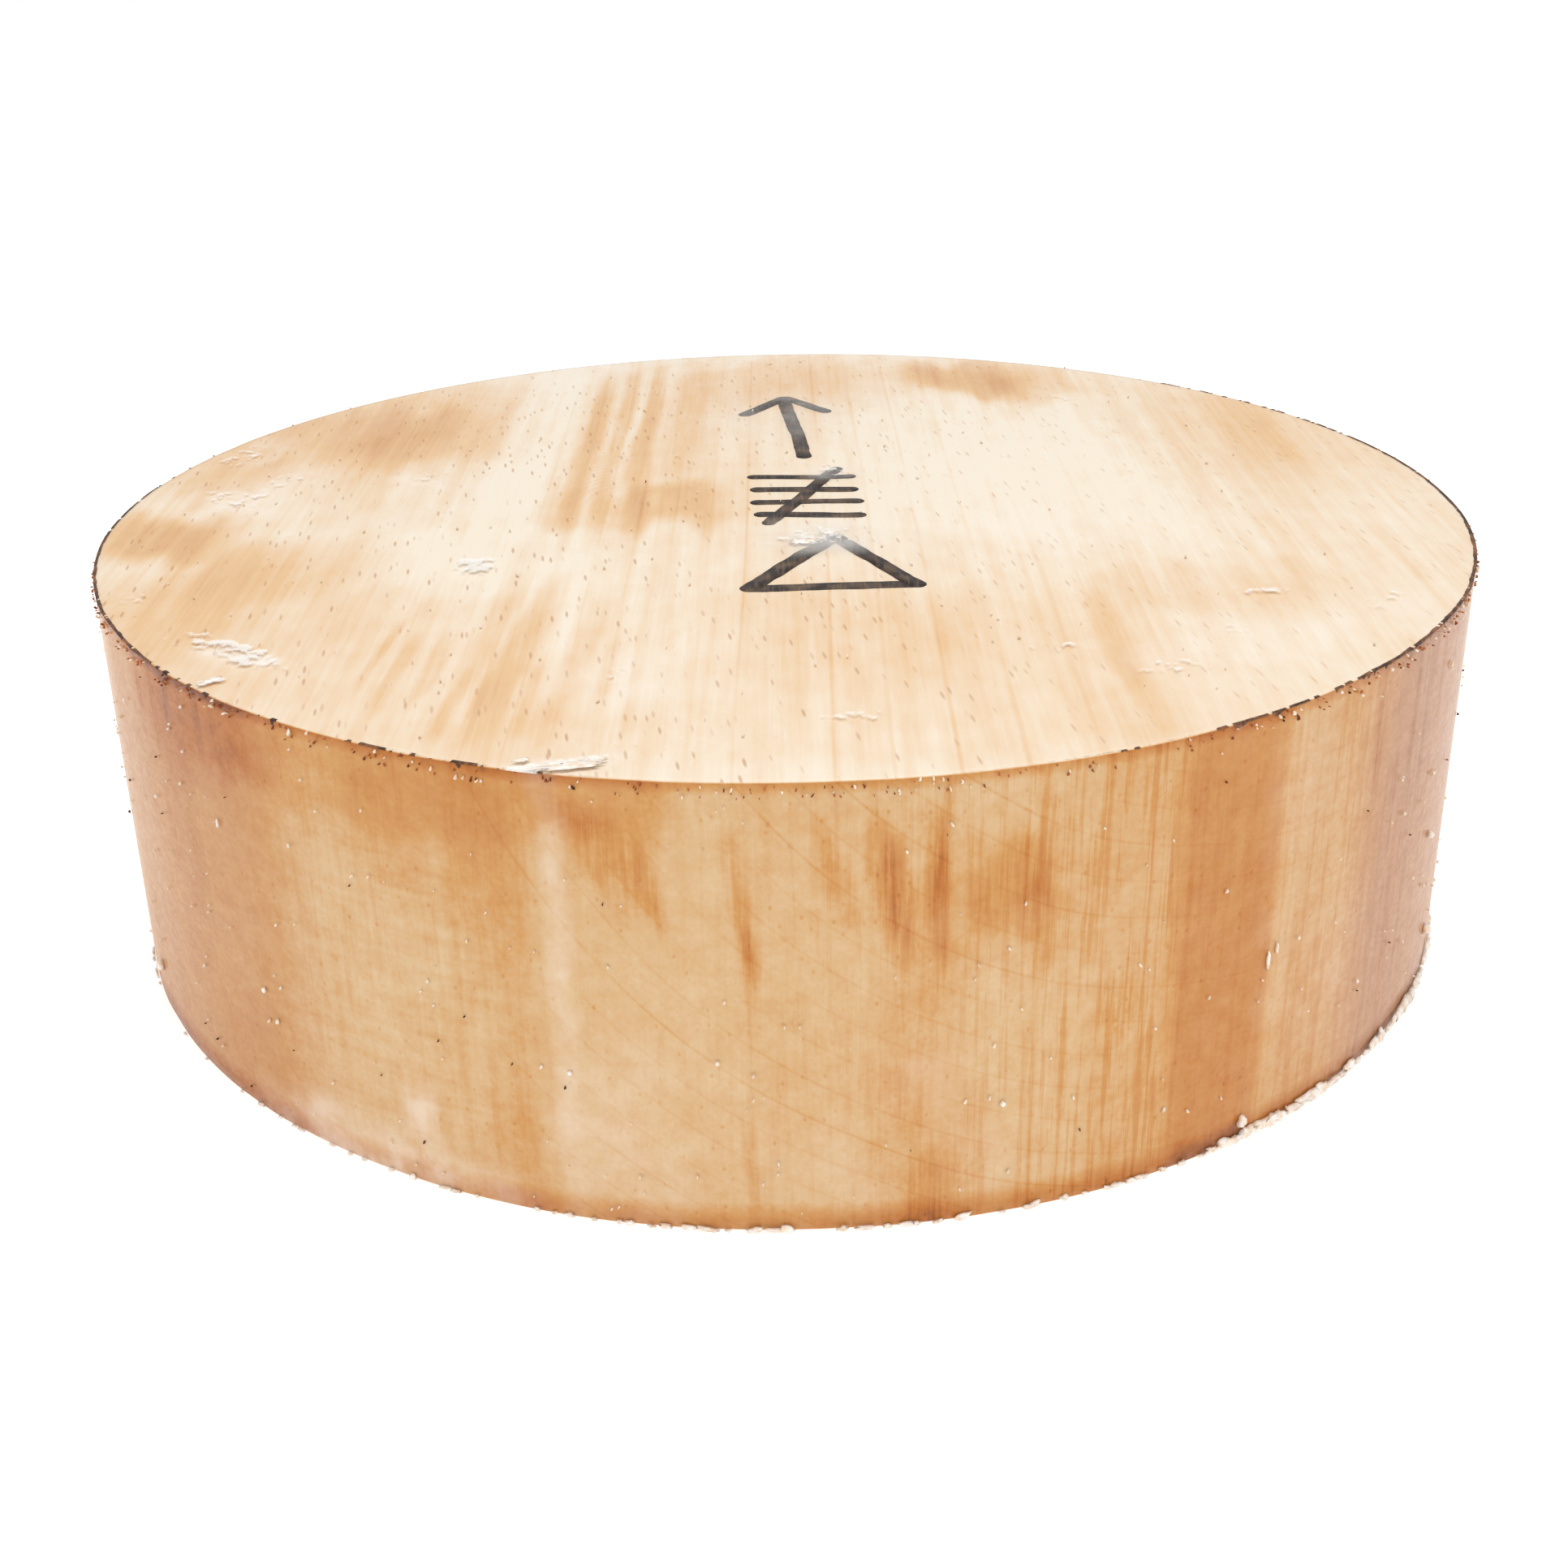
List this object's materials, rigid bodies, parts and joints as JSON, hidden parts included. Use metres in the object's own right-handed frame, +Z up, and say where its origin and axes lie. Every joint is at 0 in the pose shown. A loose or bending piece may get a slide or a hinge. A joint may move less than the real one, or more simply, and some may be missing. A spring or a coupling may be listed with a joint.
{
  "type": "woodturning bowl blank",
  "caption": "Round beech blank for turning a bowl, sawn from a plank, dipped in wax and marked with a felt pen.",
  "frame": {"origin": "centre of the underside, on the plane the blank rests on", "axes": "+Z up through the centre of the round, X across the grain to the right, +Y along the grain to the back"},
  "size_m": [0.1542, 0.1541, 0.045],
  "materials": {
    "wood": "bandsawn beech seen through clear wax",
    "wax": "thin clear wax skin, glossy, milky where it is thick",
    "ink": "black felt pen ink soaked into wood"
  },
  "bodies": {
    "root": {"beech_disc": "wood", "wax_top_coat": "wax", "wax_rim_coat": "wax", "wax_base_coat": "wax", "wax_foot_lumps": "wax", "wax_rim_beads": "wax", "layout_line": "ink", "felt_pen_mark": "ink"}
  },
  "joints": []
}
